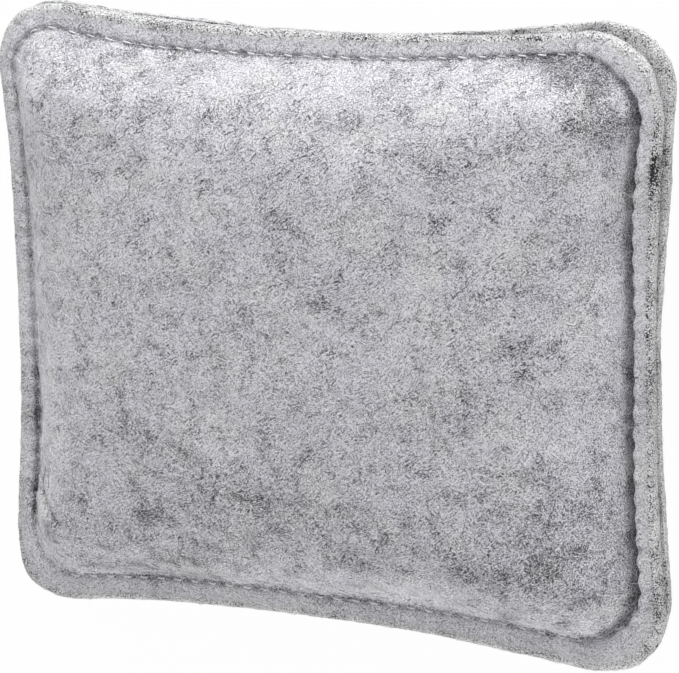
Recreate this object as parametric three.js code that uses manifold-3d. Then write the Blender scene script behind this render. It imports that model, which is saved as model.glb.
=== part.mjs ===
// Needle felting pad: two thick felt sheets, lockstitched together round a block of soft foam.
// Units are millimetres. The pad lies on its back sheet, with its origin in the middle of its underside,
// +X along the longer side and +Z out of the working face.

import * as THREE from 'three';
import { mergeGeometries, mergeVertices } from 'three/addons/utils/BufferGeometryUtils.js';
import Module from 'manifold-3d';

// Felt blanks, as cut
const BLANK_LENGTH = 150;
const BLANK_WIDTH = 130;
const BLANK_CORNER = 18;
const FELT = 3.5;

// How far the filling draws in the middle of each side
const DRAW_IN_ENDS = 4.5;
const DRAW_IN_SIDES = 5.6;

// Cushion form, between the seam and the middle
const FOAM_HEIGHT = 23.5;
const CROWN = 3;
const SHOULDER = 12;
const SHOULDER_CURVE = 2.2;
const FLAT_CORNER = 7;

// Seam
const SEAM_INSET = 4.3;
const SEAM_PRESS = 1.2;
const LIP = 0.8;
const STITCH = 4.2;
const STITCH_LEAN = 0.1;
const THREAD = 0.4;

// Clearances
const GAP = 0.3;
const THREAD_GAP = 0.1;
const GROOVE_MARGIN = 0.3;

// Facets
const CORNER_STEPS = 7;
const LONG_STEPS = 12;
const SHORT_STEPS = 10;
const SHOULDER_ROWS = 4;
const CROWN_ROW = 0.5;
const THREAD_SIDES = 3;

// A lockstitch: both threads turn in a U inside the needle hole, one through the other, at right angles.
const STRAND = THREAD + THREAD_GAP;
const LOOP = STRAND;
const LOCK = STRAND * Math.SQRT2;
const HOLE_WIDTH = 2 * (LOOP + THREAD / 2 + THREAD_GAP);
const HOLE_LENGTH = HOLE_WIDTH + 2 * STITCH_LEAN;
const GROOVE = HOLE_WIDTH / 2 + GROOVE_MARGIN;

// Heights. The parting plane lies between the two sheets, half way up the shoulders.
const DOME = (2 * FELT + 2 * GAP + FOAM_HEIGHT - CROWN) / 2;
const PARTING = DOME;
const SHEET_FOOT = GAP / 2;
const SHEET_TOP = SHEET_FOOT + FELT;
const SEAM_TOP = SHEET_TOP - SEAM_PRESS;
const THREAD_TOP = SEAM_TOP + THREAD_GAP + THREAD / 2;

// Closed outline of a blank, moved in from its cut edge.
function outline(inset, corner) {
  const x = BLANK_LENGTH / 2 - inset - corner;
  const y = BLANK_WIDTH / 2 - inset - corner;
  const quarter = Math.PI / 2;
  const path = new THREE.Path();
  path.absarc(x, y, corner, 0, quarter);
  path.absarc(-x, y, corner, quarter, 2 * quarter);
  path.absarc(-x, -y, corner, 2 * quarter, 3 * quarter);
  path.absarc(x, -y, corner, 3 * quarter, 4 * quarter);
  path.closePath();
  return path;
}

// The sides of the filled pad pull in between its corners.
function drawnIn(point, height) {
  const u = point.x / (BLANK_LENGTH / 2);
  const v = point.y / (BLANK_WIDTH / 2);
  const x = point.x - DRAW_IN_ENDS * u * (1 - v * v);
  const y = point.y - DRAW_IN_SIDES * v * (1 - u * u);
  return new THREE.Vector3(x, y, PARTING + height);
}

function ring({ inset, corner, height, scale = 1 }) {
  const steps = [CORNER_STEPS, LONG_STEPS, CORNER_STEPS, SHORT_STEPS];
  const curves = outline(inset, corner).curves;
  const points = curves.flatMap((curve, i) => curve.getPoints(steps[i % 4]).slice(0, -1));
  return points.map((point) => drawnIn(point.multiplyScalar(scale), height));
}

// A closed solid through rings of equal count, with a fan at each end. Rings turn anticlockwise as seen
// from the start.
function loft(start, rings, end) {
  const count = rings[0].length;
  const points = [start, ...rings.flat(), end];
  const last = points.length - 1;
  const index = [];
  for (let i = 0; i < count; i++) {
    const next = (i + 1) % count;
    index.push(0, 1 + i, 1 + next);
    for (let row = 1; row < last - count; row += count) {
      index.push(row + i, row + count + i, row + count + next);
      index.push(row + i, row + count + next, row + next);
    }
    index.push(last, last - count + next, last - count + i);
  }
  const geometry = new THREE.BufferGeometry().setFromPoints(points);
  geometry.setIndex(index);
  return geometry;
}

// Section of a sheet. Each entry is a place on it, with its height over the parting plane.

function flange(inset, height) {
  return { inset, corner: BLANK_CORNER - inset, height };
}

// A point on the shoulder, from the groove, at 0, to the rim of the flat, at 1, and deep under its surface.
function shoulder(along, deep) {
  const rise = DOME - SEAM_TOP;
  const slope = SHOULDER_CURVE * (1 - along) ** (SHOULDER_CURVE - 1) * rise / SHOULDER;
  const length = Math.hypot(1, slope);
  const foot = SEAM_INSET + GROOVE;
  return {
    inset: foot + along * SHOULDER + deep * slope / length,
    corner: THREE.MathUtils.lerp(BLANK_CORNER - foot, FLAT_CORNER, along),
    height: SEAM_TOP + rise * (1 - (1 - along) ** SHOULDER_CURVE) - deep / length,
  };
}

// Rows of facets down the shoulder, from the rim of the flat to the last one before the groove.
function shoulderRows(deep) {
  const rows = [];
  for (let row = SHOULDER_ROWS; row > 0; row--) {
    rows.push(shoulder(row / SHOULDER_ROWS, deep));
  }
  return rows;
}

function middle(height) {
  return new THREE.Vector3(0, 0, PARTING + height);
}

// The outside of a sheet from the rim of the flat to the cut edge, then its inside back to the rim.
function sheetSection() {
  return [
    ...shoulderRows(0),
    flange(SEAM_INSET + GROOVE, SEAM_TOP),
    flange(SEAM_INSET - GROOVE, SEAM_TOP),
    flange(SEAM_INSET - GROOVE - LIP, SHEET_TOP),
    flange(0, SHEET_TOP),
    flange(0, SHEET_FOOT),
    { ...shoulder(0, FELT), height: SHEET_FOOT },
    ...shoulderRows(FELT).reverse(),
  ];
}

function turnedOver(section) {
  return section.map((place) => ({ ...place, height: -place.height })).reverse();
}

// Needle holes, evenly spaced along the seam.
class SeamLine extends THREE.Curve {
  path = outline(SEAM_INSET, BLANK_CORNER - SEAM_INSET);
  arcLengthDivisions = 4000;

  getPoint(t) {
    return drawnIn(this.path.getPoint(t), 0);
  }
}

const seam = new SeamLine();
const stitchCount = Math.round(seam.getLength() / STITCH);

function needlePlace(number) {
  const share = (number % stitchCount) / stitchCount;
  const along = seam.getTangentAt(share);
  const up = new THREE.Vector3(0, 0, 1);
  const across = new THREE.Vector3().crossVectors(up, along);
  const frame = new THREE.Matrix4().makeBasis(along, across, up);
  return frame.setPosition(seam.getPointAt(share));
}

function needleHoles() {
  const holes = [];
  for (let number = 0; number < stitchCount; number++) {
    const hole = new THREE.BoxGeometry(HOLE_LENGTH, HOLE_WIDTH, 2 * SHEET_TOP);
    holes.push(hole.applyMatrix4(needlePlace(number)));
  }
  return mergeGeometries(holes);
}

// Cutting one closed mesh out of another

const wasm = await Module();
wasm.setup();

function solid(geometry) {
  const bare = new THREE.BufferGeometry();
  bare.setAttribute('position', geometry.attributes.position);
  bare.setIndex(geometry.index);
  const merged = mergeVertices(bare);
  const vertProperties = new Float32Array(merged.attributes.position.array);
  const triVerts = new Uint32Array(merged.index.array);
  return new wasm.Manifold(new wasm.Mesh({ numProp: 3, vertProperties, triVerts }));
}

function cut(body, tool) {
  const result = solid(body).subtract(solid(tool)).getMesh();
  const geometry = new THREE.BufferGeometry();
  geometry.setAttribute('position', new THREE.BufferAttribute(result.vertProperties, 3));
  geometry.setIndex(new THREE.BufferAttribute(result.triVerts, 1));
  return geometry;
}

// Pieces

const holes = needleHoles();

function faceFelt() {
  const section = sheetSection();
  const crown = { ...section[0], scale: CROWN_ROW, height: DOME + CROWN * (1 - CROWN_ROW ** 2) };
  const top = DOME + CROWN;
  const sheet = loft(middle(top), [crown, ...section].map(ring), middle(top - FELT));
  return cut(sheet, holes);
}

function backFelt() {
  const rings = turnedOver(sheetSection()).map(ring);
  const sheet = loft(middle(FELT - DOME), rings, middle(-DOME));
  return cut(sheet, holes);
}

// The block is squeezed by the shoulders of both sheets to a blunt edge at their last row.
function foamCore() {
  const deep = FELT + GAP;
  const half = shoulderRows(deep);
  const rings = [...half, ...turnedOver(half)].map(ring);
  return loft(middle(DOME + CROWN - deep), rings, middle(deep - DOME));
}

// One unbroken thread. Both its ends are trimmed inside the first needle hole.
function seamThread(stitch) {
  const path = [];
  for (let number = 0; number <= stitchCount; number++) {
    const place = needlePlace(number);
    path.push(...stitch.map((point) => point.clone().applyMatrix4(place)));
  }
  const turn = Math.floor(stitch.length / 2);
  return tube(path.slice(turn + 1, path.length - turn - 1));
}

// Each ring is the one before it, turned only as much as the path turns, so the tube never twists.
function tube(path) {
  const along = new THREE.Vector3(0, 0, 1);
  const side = new THREE.Vector3(1, 0, 0);
  const rings = path.map((point, i) => {
    const before = path[Math.max(i - 1, 0)];
    const after = path[Math.min(i + 1, path.length - 1)];
    const arrive = point.clone().sub(before).normalize();
    const leave = after.clone().sub(point).normalize();
    const ahead = arrive.add(leave).normalize();
    side.applyQuaternion(new THREE.Quaternion().setFromUnitVectors(along, ahead));
    along.copy(ahead);
    const other = new THREE.Vector3().crossVectors(side, along);
    const section = [];
    for (let corner = 0; corner < THREAD_SIDES; corner++) {
      const angle = 2 * Math.PI * corner / THREAD_SIDES;
      const offset = side.clone().multiplyScalar(Math.cos(angle)).addScaledVector(other, Math.sin(angle));
      section.push(point.clone().addScaledVector(offset, THREAD / 2));
    }
    return section;
  });
  return loft(path[0], rings, path[path.length - 1]);
}

// The points of a stitch run along the seam, across it and up from the parting plane.

function needleThread() {
  return seamThread([
    new THREE.Vector3(-LOOP - STITCH_LEAN, 0, THREAD_TOP),
    new THREE.Vector3(-LOOP, 0, LOOP - LOCK / 2),
    new THREE.Vector3(0, 0, -LOCK / 2),
    new THREE.Vector3(LOOP, 0, LOOP - LOCK / 2),
    new THREE.Vector3(LOOP + STITCH_LEAN, 0, THREAD_TOP),
  ]);
}

function bobbinThread() {
  return seamThread([
    new THREE.Vector3(-STITCH_LEAN, -LOOP, -THREAD_TOP),
    new THREE.Vector3(0, -LOOP, LOCK / 2 - LOOP),
    new THREE.Vector3(0, 0, LOCK / 2),
    new THREE.Vector3(0, LOOP, LOCK / 2 - LOOP),
    new THREE.Vector3(STITCH_LEAN, LOOP, -THREAD_TOP),
  ]);
}

// Assembly

const felt = new THREE.MeshStandardMaterial({ color: 0xb4b3b8, roughness: 0.95, metalness: 0 });
const foam = new THREE.MeshStandardMaterial({ color: 0xe6dfcc, roughness: 0.9, metalness: 0 });
const thread = new THREE.MeshStandardMaterial({ color: 0xdcdbd8, roughness: 0.6, metalness: 0 });

const pad = new THREE.Group();

function addPiece(name, geometry, material) {
  const mesh = new THREE.Mesh(geometry, material);
  mesh.name = name;
  pad.add(mesh);
}

addPiece('face_felt', faceFelt(), felt);
addPiece('back_felt', backFelt(), felt);
addPiece('foam_core', foamCore(), foam);
addPiece('needle_thread', needleThread(), thread);
addPiece('bobbin_thread', bobbinThread(), thread);

export default pad;
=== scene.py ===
# %% [markdown]
# # A needle felting pad
#
# This pad is a small cushion that a crafter jabs a barbed needle into. Two thick sheets of grey felt lie back
# to back round a block of foam, and one row of machine stitches close to the cut edge holds them together.
# The lesson starts from the pad's solids, which fix every size and place, and gives each piece its real
# surface: swollen felt with raw edges, a sewn crease, twisted thread and stray fibres.

# %% Load the solids that everything is fitted to
import math

import bpy
import numpy as np
from mathutils import Matrix, Quaternion, Vector
from mathutils.bvhtree import BVHTree
from mathutils.kdtree import KDTree


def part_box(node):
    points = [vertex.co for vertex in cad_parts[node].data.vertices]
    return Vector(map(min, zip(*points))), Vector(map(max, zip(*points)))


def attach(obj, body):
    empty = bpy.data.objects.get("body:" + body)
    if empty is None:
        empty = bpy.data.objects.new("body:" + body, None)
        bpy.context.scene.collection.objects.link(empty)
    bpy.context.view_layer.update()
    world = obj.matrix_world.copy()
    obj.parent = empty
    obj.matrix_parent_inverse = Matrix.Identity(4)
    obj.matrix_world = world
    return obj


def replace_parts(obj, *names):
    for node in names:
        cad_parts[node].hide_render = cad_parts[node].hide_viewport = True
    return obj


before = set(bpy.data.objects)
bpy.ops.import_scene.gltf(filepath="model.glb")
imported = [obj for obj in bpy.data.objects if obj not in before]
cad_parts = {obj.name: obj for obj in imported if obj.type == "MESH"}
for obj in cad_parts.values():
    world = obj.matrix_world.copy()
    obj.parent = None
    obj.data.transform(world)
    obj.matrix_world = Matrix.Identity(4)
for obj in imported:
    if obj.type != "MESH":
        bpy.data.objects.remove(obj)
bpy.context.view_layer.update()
print("solids:", sorted(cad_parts))

# %% [markdown]
# ## Sizes
#
# The solids say how high the two sheets reach and where they part. The sizes of the felt blanks and of the
# seam are the maker's own, so they are written here once, in millimetres, and everything else follows.

# %% Sizes of the blanks, the cushion form and the seam
MM = 0.001
BLANK_LENGTH = 150.0
BLANK_WIDTH = 130.0
BLANK_CORNER = 18.0
DRAW_IN_ENDS = 4.5
DRAW_IN_SIDES = 5.6
FELT = 3.5
CROWN = 3.0
SEAM_INSET = 4.3
RIM_INSET = 17.4
RIM_CORNER = 7.0
STITCH = 4.2
THREAD = 0.4
GAP = 0.3

face_low = np.array(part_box("face_felt")[0]) / MM
back_low, back_high = (np.array(corner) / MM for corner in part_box("back_felt"))
PARTING = (face_low[2] + back_high[2]) / 2
SHEET_FOOT = face_low[2] - PARTING
SHEET_TOP = SHEET_FOOT + FELT
DOME = PARTING - back_low[2]
print(f"sheets part {PARTING:.2f} mm up, and the shoulders rise {DOME:.2f} mm to each side")

# %% [markdown]
# ## Camera
#
# The photograph looks at the working face from its upper right, through a long lens. The pad lies on its
# back here, so the camera stands over it and is turned until the pad's +Y side is at the top of the picture.

# %% Camera at the photograph's viewing angle
IMAGE_WIDTH = 679
FOCAL_PIXELS = 3146
SENSOR = 36.0
TURN_RIGHT = math.radians(27.2)
TURN_UP = math.radians(12.3)
ROLL = math.radians(-0.87)
DISTANCE = 628 * MM
TARGET = Vector((3.2 * MM, -1.5 * MM, PARTING * MM))

towards = Vector((
    math.sin(TURN_RIGHT) * math.cos(TURN_UP),
    math.sin(TURN_UP),
    math.cos(TURN_RIGHT) * math.cos(TURN_UP),
))
right = Vector((0, 1, 0)).cross(towards).normalized()
up = towards.cross(right)
rolled_right = math.cos(ROLL) * right + math.sin(ROLL) * up
rolled_up = math.cos(ROLL) * up - math.sin(ROLL) * right

bpy.ops.object.select_all(action="DESELECT")
bpy.ops.object.camera_add()
camera = bpy.context.object
axes = Matrix((rolled_right, rolled_up, towards)).transposed()
camera.matrix_world = Matrix.Translation(TARGET + DISTANCE * towards) @ axes.to_4x4()
camera.data.sensor_width = SENSOR
camera.data.lens = SENSOR * FOCAL_PIXELS / IMAGE_WIDTH
bpy.context.scene.camera = camera
print(f"camera lens {camera.data.lens:.1f} mm, {DISTANCE / MM:.0f} mm away")

# %% [markdown]
# ## Colours and nodes
#
# Colours are written as they look on a screen, and the shader wants them in linear light. One function does
# that, and one function adds a shader node, sets it up and wires its inputs. Three short ones add the nodes
# that come up most: a noise of a certain size, a range of values mapped to another, and a calculation.

# %% Helpers for materials


def linear(hex_colour):
    channels = [int(hex_colour[i : i + 2], 16) / 255 for i in (1, 3, 5)]
    light = [c / 12.92 if c <= 0.04045 else ((c + 0.055) / 1.055) ** 2.4 for c in channels]
    return (*light, 1.0)


def add_node(material, kind, inputs=None, **settings):
    tree = material.node_tree
    node = tree.nodes.new("ShaderNode" + kind)
    for name, value in settings.items():
        setattr(node, name, value)
    for name, value in (inputs or {}).items():
        if isinstance(value, bpy.types.NodeSocket):
            tree.links.new(value, node.inputs[name])
        else:
            node.inputs[name].default_value = value
    return node


def noise(material, place, size, detail, roughness=0.5):
    inputs = {"Vector": place, "Scale": 1 / size, "Detail": detail, "Roughness": roughness}
    return add_node(material, "TexNoise", inputs).outputs


def map_range(material, value, low, high, to_low=0.0, to_high=1.0):
    inputs = {"Value": value, "From Min": low, "From Max": high, "To Min": to_low, "To Max": to_high}
    return add_node(material, "MapRange", inputs).outputs[0]


def calculate(material, operation, *values):
    return add_node(material, "Math", dict(enumerate(values)), operation=operation).outputs[0]


def new_material(name):
    material = bpy.data.materials.new(name)
    material.use_nodes = True
    material.node_tree.nodes.clear()
    return material


def finish_material(material, shader):
    output = add_node(material, "OutputMaterial")
    material.node_tree.links.new(shader, output.inputs["Surface"])
    print("material:", material.name, len(material.node_tree.nodes), "nodes")


# %% [markdown]
# ## Heather-grey needle felt
#
# Needle felt is a mat of wool fibres tangled by barbed needles. This one blends pale, slightly violet wool
# with some dark fibres. From arm's length the eye sees soft clouds of lighter and darker wool about a
# centimetre across, clumps where the dark fibres gathered, and over all of it short curly hairs that cross
# each other. The material lays such hairs layer on layer: each layer is a noise stretched along one
# direction, on a place that is swirled first so that the hairs curl. One of its colour channels says where
# a hair covers what is below, one how pale it is, and one whether it is a dark hair. A fine round grain on
# top stands for their frizzy ends. A single wool hair is far too thin for the render, so these are drawn as
# thick as they have to be to show. Along the raw edge the knife cut through the mat, so it shows fibre
# ends: greyer, with dark specks.

# %% Sizes and colours in the felt
CLOUD_SIZE = 13 * MM
CLOUD_SHARE = 0.45
CLUMP_SIZE = 5 * MM
UNDYED_SIZE = 9 * MM
SWIRL_SIZE = 7 * MM
SWIRL_REACH = 3 * MM
HAIR_LENGTH = 1.1 * MM
HAIR_WIDTH = 0.19 * MM
HAIR_LAYS = (15, 100, 60, 150, 125, 35)
FRIZZ_SIZE = 0.23 * MM
SPECK_SIZE = 0.28 * MM
SPECK_GATHER = 0.6
SMUDGE_SHARE = 0.15
GROUND_TONE = 0.56
FELT_STOPS = (
    (0.18, "#26262A"),
    (0.43, "#727277"),
    (0.68, "#A8A7AD"),
    (0.86, "#C4C3C9"),
    (1.0, "#E0DFE5"),
)
EDGE_STOPS = (
    (0.18, "#1E1E1F"),
    (0.43, "#707071"),
    (0.68, "#A8A8A9"),
    (0.86, "#C6C6C7"),
    (1.0, "#E2E2E3"),
)


def colour_ramp(material, value, wanted):
    ramp = add_node(material, "ValToRGB", {"Fac": value})
    stops = ramp.color_ramp.elements
    while len(stops) < len(wanted):
        stops.new(0.5)
    for stop, (position, colour) in zip(stops, wanted):
        stop.position = position
        stop.color = linear(colour)
    return ramp.outputs["Color"]


# %% Hairs laid layer on layer


def combed_hairs(material, place, dark_and_painted_share, tone):
    """Lays hairs over what is there, one direction after another, each hair pale or dark."""
    for number, lay in enumerate(HAIR_LAYS):
        combed = add_node(
            material,
            "Mapping",
            {
                "Vector": place,
                "Location": (3.1 * number * MM, 1.7 * number * MM, 5.3 * number * MM),
                "Rotation": (0, 0, math.radians(lay)),
                "Scale": (HAIR_LENGTH, HAIR_WIDTH, HAIR_WIDTH),
            },
            vector_type="TEXTURE",
        )
        hair = noise(material, combed.outputs[0], 1.0, 0.4)
        parts = add_node(material, "SeparateColor", {"Color": hair["Color"]})
        cover = map_range(material, parts.outputs["Red"], 0.5, 0.53)
        pale = map_range(material, parts.outputs["Green"], 0.3, 0.7, 0.35, 0.95)
        chance = calculate(material, "ADD", parts.outputs["Blue"], dark_and_painted_share)
        dark = map_range(material, chance, 0.57, 0.67, 0.0, -0.6)
        hair_tone = calculate(material, "ADD", pale, dark)
        layered = add_node(material, "Mix", {"Factor": cover, 2: tone, 3: hair_tone}, data_type="FLOAT")
        tone = layered.outputs[0]
    return tone


# %% Surface of the felt, and its cut edge


def surface_colour(felt, place, swirled, cloud, hairs):
    """Hairs and their frizz over the clouds, with less violet where the wool was left undyed."""
    grain = noise(felt, place, FRIZZ_SIZE, 1.5)
    frizz = map_range(felt, grain["Fac"], 0.38, 0.62, -0.3, 0.3)
    frizzy = calculate(felt, "ADD", hairs, frizz)
    tone = calculate(felt, "MULTIPLY_ADD", cloud, CLOUD_SHARE, frizzy)
    undyed = noise(felt, swirled, UNDYED_SIZE, 4.0)
    cast = map_range(felt, undyed["Fac"], 0.5, 0.68, 1.0, 0.3)
    colour = colour_ramp(felt, tone, FELT_STOPS)
    return add_node(felt, "HueSaturation", {"Saturation": cast, "Color": colour}).outputs[0]


def edge_colour(felt, place, cloud, dark_and_painted_share):
    """Cut fibre ends, most of them pale, with dark specks."""
    fleck = noise(felt, place, SPECK_SIZE, 1.5)
    ends = add_node(felt, "SeparateColor", {"Color": fleck["Color"]})
    chance = calculate(felt, "MULTIPLY_ADD", dark_and_painted_share, SPECK_GATHER, ends.outputs["Red"])
    speck = map_range(felt, chance, 0.57, 0.63, 0.0, -1.0)
    pale = map_range(felt, ends.outputs["Green"], 0.36, 0.64, 0.36, 0.86)
    mixed = calculate(felt, "ADD", pale, speck)
    tone = calculate(felt, "MULTIPLY_ADD", cloud, CLOUD_SHARE, mixed)
    return colour_ramp(felt, tone, EDGE_STOPS)


# %% Felt material


def felt_material(name):
    felt = new_material(name)
    place = add_node(felt, "TexCoord").outputs["Object"]
    swirl = noise(felt, place, SWIRL_SIZE, 2.0)
    centred = add_node(felt, "VectorMath", {0: swirl["Color"], 1: (0.5, 0.5, 0.5)}, operation="SUBTRACT")
    swirled = add_node(
        felt,
        "VectorMath",
        {0: centred.outputs[0], 1: (SWIRL_REACH,) * 3, 2: place},
        operation="MULTIPLY_ADD",
    ).outputs[0]
    cloud = noise(felt, place, CLOUD_SIZE, 4.0, 0.6)["Fac"]
    clump = noise(felt, swirled, CLUMP_SIZE, 5.0, 0.65)
    gathered = map_range(felt, clump["Fac"], 0.46, 0.72, -0.06, 0.16)
    # The mark read here holds real dark wool, and also painted shade in the creases, corners and fold, and
    # painted light on the lips and beside the fold.
    placed = add_node(felt, "Attribute", attribute_name="wool_and_painted_light")
    dark_and_painted_share = calculate(felt, "MULTIPLY_ADD", placed.outputs["Fac"], SMUDGE_SHARE, gathered)
    hairs = combed_hairs(felt, swirled, dark_and_painted_share, GROUND_TONE)
    cut = add_node(felt, "Attribute", attribute_name="cut_edge")
    colour = add_node(
        felt,
        "Mix",
        {
            "Factor": cut.outputs["Fac"],
            6: surface_colour(felt, place, swirled, cloud, hairs),
            7: edge_colour(felt, place, cloud, dark_and_painted_share),
        },
        data_type="RGBA",
    )
    bump = add_node(felt, "Bump", {"Height": hairs, "Strength": 0.4, "Distance": 0.2 * MM})
    wool = add_node(
        felt,
        "BsdfPrincipled",
        {
            "Base Color": colour.outputs[2],
            "Roughness": 0.95,
            "Specular IOR Level": 0.2,
            "Sheen Weight": 0.15,
            "Sheen Roughness": 0.6,
            "Normal": bump.outputs["Normal"],
        },
    )
    finish_material(felt, wool.outputs[0])
    return felt


needle_felt = felt_material("heather grey needle felt")

# %% [markdown]
# ## Where the felt runs
#
# A point on a sheet is found by two numbers: how far round the pad it lies, and how far it is from the cut
# edge. `around` walks the blank's outline at any distance from its edge, and `drawn_in` pulls the middle of
# each side in, as the filling does.

# %% Plan of the pad
SIGN_X = np.array([1, -1, -1, 1])
SIGN_Y = np.array([1, 1, -1, -1])


def around(inset, corner, turn):
    """Plan of the outline, in mm. turn counts corners and straight sides in order, from 0 to 8."""
    piece = np.floor(turn).astype(int) % 8
    share = turn - np.floor(turn)
    quarter = piece // 2
    after = (quarter + 1) % 4
    straight = piece % 2
    angle = (quarter + np.where(straight, 1, share)) * math.pi / 2
    slide = np.where(straight, share, 0)
    centre_x = BLANK_LENGTH / 2 - inset - corner
    centre_y = BLANK_WIDTH / 2 - inset - corner
    side_x = SIGN_X[quarter] + slide * (SIGN_X[after] - SIGN_X[quarter])
    side_y = SIGN_Y[quarter] + slide * (SIGN_Y[after] - SIGN_Y[quarter])
    x = side_x * centre_x + corner * np.cos(angle)
    y = side_y * centre_y + corner * np.sin(angle)
    return x, y


def drawn_in(x, y):
    u = x / (BLANK_LENGTH / 2)
    v = y / (BLANK_WIDTH / 2)
    return x - DRAW_IN_ENDS * u * (1 - v * v), y - DRAW_IN_SIDES * v * (1 - u * u)


dense_turns = np.linspace(0, 8, 16001)
seam_x, seam_y = drawn_in(*around(SEAM_INSET, BLANK_CORNER - SEAM_INSET, dense_turns))
seam_walk = np.concatenate([[0], np.cumsum(np.hypot(np.diff(seam_x), np.diff(seam_y)))])
stitch_count = round(seam_walk[-1] / STITCH)
stitch_length = seam_walk[-1] / stitch_count
print(f"seam {seam_walk[-1]:.0f} mm long, {stitch_count} stitches of {stitch_length:.2f} mm")

# %% [markdown]
# ## Section of a sheet
#
# Cut the pad across and a sheet shows this section: a gently crowned flat, a shoulder that falls to the sewn
# crease, a lip beside it that slopes to the rounded cut edge, and the inside. Each row of the mesh is one
# place on that section, with its distance from the cut edge and its height over the plane where the sheets
# part.
#
# The section changes round the pad. At the right-hand end the foam pulls the felt hard, so the shoulder
# stands steep and shuts the crease to a deep slit. Along the sides it lies easy, and the seam is only a
# shallow groove. At the top right corner the two sheets spring apart.

# %% How tight the felt is round the pad
TIGHT_AT = (0, 0.2, 0.45, 0.7, 1.0, 2.2, 2.6, 3.0, 3.5, 3.65, 3.85, 4.15, 6.05, 6.4, 6.7, 7.0, 8.0)
TIGHT = (1, 0.75, 0.35, 0.15, 0.0, 0.0, 0.12, 0.14, 0.14, 0.3, 0.3, 0.0, 0.0, 0.45, 0.85, 1.0, 1.0)
SPLAY_AT = (0, 0.5, 1.2, 7.5, 8.0)
SPLAY = (0.8, 1.0, 0.0, 0.0, 0.8)
SEAM_FLOOR = (3.35, 0.45)


def between(easy, tight, turns):
    """A measure that is one thing where the felt lies easy and another where it is tight."""
    return easy + (tight - easy) * np.interp(turns % 8, TIGHT_AT, TIGHT)


def seam_floor(turns):
    """Height of the bottom of the crease over the parting plane."""
    return between(*SEAM_FLOOR, turns)


side_depth, end_depth = SHEET_TOP - seam_floor(np.array([1.5, 7.5]))
print(f"the crease is {side_depth:.1f} mm deep at a side, {end_depth:.1f} at the right end")

# %% Rows of the mesh, from the rim of the flat over the lip and the edge
SHOULDER_FOOT = (0.28, 0.35)
SHOULDER_FULLNESS = (2.7, 2.2)
CREASE_DIP = 0.15
LIP_FOOT = (0.28, 0.22)
LIP_STEEPNESS = (0.75, 0.32)
LIP_SLOPE = 0.23
LIP_SWELL = 0.4
EDGE_ROUND = 1.5
FOOT_ROUND = 0.15
FOOT_SPLAY = 0.7
SHOULDER_ROWS = 58
ROWS_CROWD = 1.3
LIP_ROWS = 10
EDGE_ROWS = 5
SEAM_ROW = SHOULDER_ROWS
EDGE_ROW = SEAM_ROW + 1 + LIP_ROWS


def shoulder_rows(turns):
    """From the rim of the flat down to the crease."""
    turn = math.pi / 2 * np.linspace(1, 0, SHOULDER_ROWS)[:, None] ** ROWS_CROWD
    floor_height = seam_floor(turns)
    foot = SEAM_INSET + between(*SHOULDER_FOOT, turns)
    along = 1 - np.cos(turn)
    inset = foot + along * (RIM_INSET - foot)
    corner = BLANK_CORNER - foot + along * (RIM_CORNER - BLANK_CORNER + foot)
    height = floor_height + (DOME - floor_height) * np.sin(turn) ** between(*SHOULDER_FULLNESS, turns)
    return np.stack(np.broadcast_arrays(inset, corner, height, 1.0))


def lip_rows(turns):
    """The bottom of the crease, its wall, and the lip sloping outwards."""
    turn = np.linspace(0, math.pi / 2, LIP_ROWS)[:, None]
    floor_height = seam_floor(turns)
    inner = SEAM_INSET - between(*LIP_FOOT, turns)
    inset = EDGE_ROUND + (inner - EDGE_ROUND) * np.cos(turn) ** between(*LIP_STEEPNESS, turns)
    swollen = between(0, LIP_SWELL, turns) * np.sin(2 * turn)
    height = floor_height + (SHEET_TOP - floor_height) * np.sin(turn) + swollen - LIP_SLOPE * (inner - inset)
    inset = np.concatenate([np.full_like(inset[:1], SEAM_INSET), inset])
    height = np.concatenate([height[:1] - CREASE_DIP, height])
    return np.stack(np.broadcast_arrays(inset, BLANK_CORNER - inset, height, 1.0))


def edge_rows(turns):
    """The cut edge, with rounded lips, down to where the sheets meet."""
    turn = np.linspace(0, math.pi / 2, EDGE_ROWS + 1)[1:, None]
    foot = FOOT_ROUND + FOOT_SPLAY * np.interp(turns % 8, SPLAY_AT, SPLAY)
    top = SHEET_TOP - LIP_SLOPE * (SEAM_INSET - between(*LIP_FOOT, turns) - EDGE_ROUND)
    wall = np.array([1 / 3, 2 / 3])[:, None]
    wall_height = top - EDGE_ROUND + wall * (SHEET_FOOT + foot - top + EDGE_ROUND)
    inset = np.concatenate([
        EDGE_ROUND * (1 - np.sin(turn)) + 0 * foot,
        0 * wall_height,
        foot * (1 - np.cos(turn)),
    ])
    height = np.concatenate([
        top - EDGE_ROUND * (1 - np.cos(turn)),
        wall_height,
        SHEET_FOOT + foot * (1 - np.sin(turn)),
    ])
    return np.stack(np.broadcast_arrays(inset, BLANK_CORNER - inset, height, 1.0))


# %% Rows inside the pad, and all of them together
INSIDE_ROWS = 8
INNER_FOOT = 5.4
INNER_RISE_FROM = 2.45
INNER_CURVE = 2.2


def inner_rows(count, deep):
    """The shoulder from inside the pad, at a depth under the outer face of the felt."""
    along = np.linspace(0, 1, count)[:, None]
    run = RIM_INSET - INNER_FOOT
    rise = DOME - INNER_RISE_FROM
    slope = INNER_CURVE * (1 - along) ** (INNER_CURVE - 1) * rise / run
    length = np.hypot(1, slope)
    inset = INNER_FOOT + along * run + deep * slope / length
    corner = BLANK_CORNER - INNER_FOOT + along * (RIM_CORNER - BLANK_CORNER + INNER_FOOT)
    height = INNER_RISE_FROM + rise * (1 - (1 - along) ** INNER_CURVE) - deep / length
    return np.stack(np.broadcast_arrays(inset, corner, height, 1.0))


def flat_rows(count, deep, crown):
    """From the middle to the rim of the flat, a low cone, for surfaces that nobody sees."""
    share = np.linspace(0, 1, count, endpoint=False)[:, None]
    return np.stack(np.broadcast_arrays(RIM_INSET, RIM_CORNER, DOME - deep + crown * (1 - share), share))


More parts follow.
